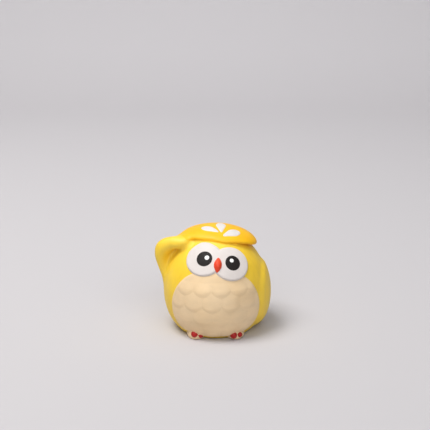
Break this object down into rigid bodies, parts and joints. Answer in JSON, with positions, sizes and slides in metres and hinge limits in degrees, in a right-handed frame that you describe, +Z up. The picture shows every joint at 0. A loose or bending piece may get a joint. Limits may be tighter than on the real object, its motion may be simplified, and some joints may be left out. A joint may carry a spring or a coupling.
{
  "type": "figural animal coin bank",
  "caption": "Round ceramic owl coin bank with one raised wing, a coin slot behind the head and a rubber stopper in the base.",
  "frame": {"origin": "centre of the figure's footprint box on the surface it stands on", "axes": "+Z up, the owl faces -Y, +X is the lowered wing's side (the figure's own left)"},
  "size_m": [0.1164, 0.1059, 0.1066],
  "materials": {
    "yellow_paint": "matte painted bisque, faint brush marks",
    "deep_yellow_paint": "satin painted bisque",
    "white_paint": "matte painted bisque",
    "black_gloss": "satin",
    "white_gloss": "satin",
    "orange_red_paint": "satin painted bisque",
    "cream_paint": "matte painted bisque",
    "dark_red_paint": "satin",
    "stopper_rubber": "matte"
  },
  "bodies": {
    "bank": {"body_shell": "yellow_paint", "brow_crest": "deep_yellow_paint", "raised_wing": "yellow_paint", "lowered_wing": "yellow_paint", "tail": "yellow_paint", "eye_mask": "white_paint", "right_pupil": "black_gloss", "left_pupil": "black_gloss", "right_pupil_glint": "white_gloss", "left_pupil_glint": "white_gloss", "beak": "orange_red_paint", "belly_panel": "cream_paint", "right_foot": "cream_paint", "left_foot": "cream_paint", "right_foot_toes": "dark_red_paint", "left_foot_toes": "dark_red_paint", "crest_petal_right": "white_paint", "crest_petal_centre": "white_paint", "crest_petal_left": "white_paint"},
    "stopper": {"stopper": "stopper_rubber"}
  },
  "joints": [
    {"name": "stopper_pull", "type": "slide", "parent": "bank", "child": "stopper", "axis": [0, 0, -1], "range_m": [0, 0.03]}
  ]
}
